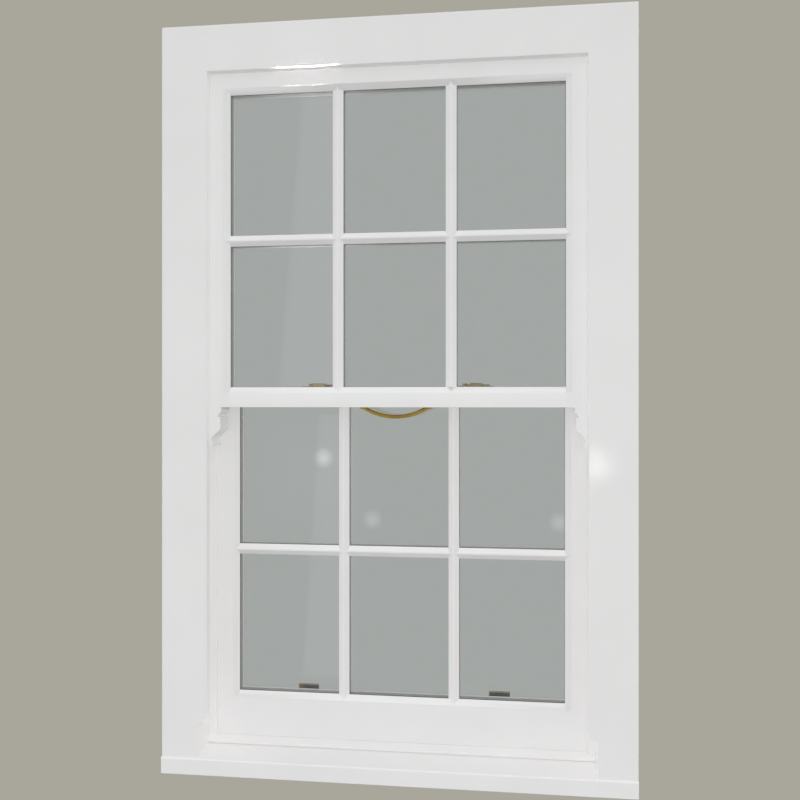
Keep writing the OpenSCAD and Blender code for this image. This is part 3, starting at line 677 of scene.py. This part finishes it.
def dress_cord(sash, side):
    """One sash cord in two lengths, from the sash over the wheel and down to the weight, and its knot."""
    name = f"{sash}_{side}_cord"
    wheel_low, wheel_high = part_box(f"{sash}_{side}_wheel")
    weight_low, weight_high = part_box(f"{sash}_{side}_weight")
    low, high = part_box(name)
    hub = (wheel_low + wheel_high) / 2
    inward = 1 if side == "left" else -1
    x_weight = (weight_low.x + weight_high.x) / 2
    reach = abs(hub.x - x_weight)
    radius = high.z - hub.z - reach
    knot_r = (high.y - low.y) / 2
    sash_side = [v.co.z for v in NODES[name].data.vertices if (v.co.x - hub.x) * inward > reach / 2]
    at_sash = Vector((hub.x + inward * reach, hub.y, 0))
    knot = at_sash + Vector((0, 0, min(sash_side) + knot_r))
    top_in = at_sash + Vector((0, 0, hub.z))
    top_out = Vector((x_weight, hub.y, hub.z))
    foot = Vector((x_weight, hub.y, weight_high.z))
    turns = [math.pi * i / WHEEL_STEPS for i in range(1, WHEEL_STEPS + 1)]
    over = [hub + reach * Vector((inward * math.cos(t), 0, math.sin(t))) for t in turns]
    to_sash = tube(name + "_to_sash", straight(knot, top_in) + over, radius)
    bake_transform(to_sash)
    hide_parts(name)
    to_weight = tube(name + "_to_weight", straight(top_out, foot), radius)
    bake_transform(to_weight)
    stopper = stopper_knot(name + "_knot", knot, knot_r)
    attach(stopper, sash + "_sash")


# ---------------------------------------------------------------- camera, stage and light


def make_camera():
    """A 45 degree view from outside, level with the middle of the window and a little to its right."""
    data = bpy.data.cameras.new("camera")
    data.sensor_width = 36.0
    data.lens = data.sensor_width / 2 / math.tan(math.radians(VIEW_ANGLE / 2))
    cam = put("camera", data)
    low, high = CAD_BOX
    cam.location = (*CAMERA_PLACE, (low.z + high.z) / 2)
    cam.rotation_euler = (math.radians(90), 0.0, math.radians(CAMERA_TURN))
    bpy.context.scene.camera = cam


def glow_material(name, strength, rim=None):
    """A glow that only reflections show, added to what is behind it; it fades out to its rim, if any."""
    mat, tree, shader = new_material(name)
    tree.nodes.remove(shader)
    path = node(tree, "ShaderNodeLightPath")
    mirrored = node(tree, "ShaderNodeMath", {"operation": "MINIMUM", 1: 1.0}, {0: (path, "Glossy Depth")})
    power = node(tree, "ShaderNodeMath", {"operation": "MULTIPLY", 1: strength}, {0: (mirrored, "Value")})
    if rim:
        where = node(tree, "ShaderNodeTexCoord")
        sized = node(tree, "ShaderNodeMapping", {"Scale": [1 / rim] * 3}, {"Vector": (where, "Object")})
        fade = node(tree, "ShaderNodeTexGradient", {"gradient_type": "SPHERICAL"},
                    {"Vector": (sized, "Vector")})
        faded = node(tree, "ShaderNodeMath", {"operation": "MULTIPLY", 1: strength}, {0: (fade, "Fac")})
        fit(tree, power, links={1: (faded, "Value")})
    glow = node(tree, "ShaderNodeEmission", {"Color": linear("#ffffff")}, {"Strength": (power, "Value")})
    clear = node(tree, "ShaderNodeBsdfTransparent")
    both = node(tree, "ShaderNodeAddShader", {}, {0: (clear, "BSDF"), 1: (glow, "Emission")})
    fit(tree, tree.nodes["Material Output"], links={"Surface": (both, "Shader")})
    return mat


def by_ray(tree, output, seen, in_gloss, to_paint, y):
    """One look for what is seen as it is, one for reflections and one that lights the paint."""
    path = node(tree, "ShaderNodeLightPath")
    # only what stands in front of the window, where y is negative, is the room that its gloss reflects
    front = node(tree, "ShaderNodeMapRange",
                 {"From Min": -0.1, "From Max": 0.1, "To Min": 1.0, "To Max": 0.0}, {"Value": y})
    in_front = node(tree, "ShaderNodeMath", {"operation": "MULTIPLY", "use_clamp": True},
                    {0: (path, "Glossy Depth"), 1: (front, "Result")})
    mirrored = node(tree, "ShaderNodeMixShader", {}, {"Fac": (in_front, "Value"), 1: seen, 2: in_gloss})
    last = node(tree, "ShaderNodeMixShader", {},
                {"Fac": (path, "Is Diffuse Ray"), 1: (mirrored, "Shader"), 2: to_paint})
    fit(tree, tree.nodes[output], links={"Surface": (last, "Shader")})


def make_stage():
    """A plain pale floor that runs up into a backdrop: one tone to the eye, and neutral to the paint."""
    mat, tree, shader = new_material("backdrop_paper")
    tree.nodes.remove(shader)
    paper = node(tree, "ShaderNodeEmission", {"Color": linear(BACKDROP)})
    room = node(tree, "ShaderNodeEmission", {"Color": ROOM})
    bounce = node(tree, "ShaderNodeEmission", {"Color": linear("#c8c9ca")})
    where = node(tree, "ShaderNodeTexCoord")
    split = node(tree, "ShaderNodeSeparateXYZ", {}, {"Vector": (where, "Object")})
    by_ray(tree, "Material Output", (paper, "Emission"), (room, "Emission"), (bounce, "Emission"),
           (split, "Y"))
    half = FLOOR_SPAN / 2
    turns = (math.pi / 2 * i / COVE_STEPS for i in range(1, COVE_STEPS + 1))
    cove = [(WALL_Y + COVE_R * math.sin(a), COVE_R - COVE_R * math.cos(a)) for a in turns]
    profile = [(-half, 0.0), (WALL_Y, 0.0), *cove, (WALL_Y + COVE_R, WALL_TOP)]
    shape = bmesh.new()
    rows = [[shape.verts.new((x, y, z - FLOOR_DROP)) for x in (-half, half)] for y, z in profile]
    for a, b in zip(rows, rows[1:]):
        shape.faces.new([a[0], a[1], b[1], b[0]])
    show("floor_and_backdrop", as_mesh("floor_and_backdrop", shape), mat)


def make_world():
    """The backdrop's tone to the eye, a room with a lit ceiling in reflections, and even sky light."""
    world = bpy.data.worlds.new("studio")
    bpy.context.scene.world = world
    world.use_nodes = True
    tree = world.node_tree
    paper = fit(tree, tree.nodes["Background"], {"Color": linear(BACKDROP)})
    sky = node(tree, "ShaderNodeBackground", {"Color": linear("#fbfcfd"), "Strength": 0.59})
    where = node(tree, "ShaderNodeTexCoord")
    split = node(tree, "ShaderNodeSeparateXYZ", {}, {"Vector": (where, "Generated")})
    # the lit ceiling shows along the tops of the brass
    ceiling = node(tree, "ShaderNodeMapRange",
                   {"From Min": 0.45, "From Max": 0.85, "To Min": 1.0, "To Max": 2.2},
                   {"Value": (split, "Z")})
    room = node(tree, "ShaderNodeBackground", {"Color": ROOM}, {"Strength": (ceiling, "Result")})
    by_ray(tree, "World Output", (paper, "Background"), (room, "Background"), (sky, "Background"),
           (split, "Y"))


def sun(name, to_light, strength, shadow):
    """A soft fill light from one direction, which shows in no reflection."""
    data = bpy.data.lights.new(name, "SUN")
    data.energy = strength
    data.angle = math.radians(30)
    data.use_shadow = shadow
    lamp = put(name, data)
    lamp.rotation_euler = Vector(to_light).to_track_quat("Z", "Y").to_euler()
    lamp.visible_glossy = False
    lamp.visible_transmission = False


def front_glow():
    """A soft light low in front of the window, which brightens its middle and casts no shadow."""
    data = bpy.data.lights.new("front_glow", "POINT")
    data.energy = 9.0
    data.shadow_soft_size = 0.3
    data.use_shadow = False
    lamp = put("front_glow", data)
    lamp.location = (0.1, -1.7, 0.68)
    lamp.visible_glossy = False
    lamp.visible_transmission = False


def arris_beam():
    """A narrow beam that only finds the rounded arris of the head lining."""
    data = bpy.data.lights.new("arris_beam", "AREA")
    data.shape = "DISK"
    data.size = 0.04
    data.spread = math.radians(3)
    data.energy = 4.0
    spot = put("arris_beam", data)
    spot.location = (-0.93, -3.2, 0.475)
    spot.rotation_euler = (spot.location - Vector((-0.187, -0.08, 1.56))).to_track_quat("Z", "Y").to_euler()
    spot.visible_diffuse = False
    spot.visible_transmission = False


def gloss_panel(name, corners, mat, at=(0, 0, 0)):
    """A panel in front of or behind the window that shows only as a reflection."""
    mesh = bpy.data.meshes.new(name)
    mesh.from_pydata(corners, [], [(0, 1, 2, 3)])
    panel = show(name, mesh, mat)
    panel.location = at
    panel.visible_camera = False
    panel.visible_diffuse = False
    panel.visible_shadow = False


def make_light():
    """Even studio light with soft fill, and small lamps that glow in the gloss paint and the glass."""
    make_world()
    for name, (to_light, strength, shadow) in FILLS.items():
        sun(name, to_light, strength, shadow)
    front_glow()
    arris_beam()
    for i, (at, rim, strength) in enumerate(LAMPS, 1):
        corners = [(-rim, 0, -rim), (rim, 0, -rim), (rim, 0, rim), (-rim, 0, rim)]
        gloss_panel(f"lamp_{i}", corners, glow_material(f"lamp_glow_{i}", strength, rim), at)
    glow = glow_material("strip_glow", 0.19)
    for name, corners in STRIPS.items():
        gloss_panel(name, [(x, STRIP_Y, z) for x, z in corners], glow)


SCREWS = screw_tree(BRASS)

make_camera()
dress_timber()
dress_brass()
dress_plain()
for sash in SASHES:
    for side in SIDES:
        dress_cord(sash, side)
drive_screws("frame_screws", "frame", stile_screws(), SCREW["Head Radius"])
drive_screws("lift_screws", "lower_sash", lift_screws(), LIFT_SCREW_R)
drive_screws("fastener_screws", "lower_sash", fastener_screws(), FASTENER_SCREW_R)
make_stage()
make_light()
bpy.context.scene.view_settings.view_transform = "Standard"
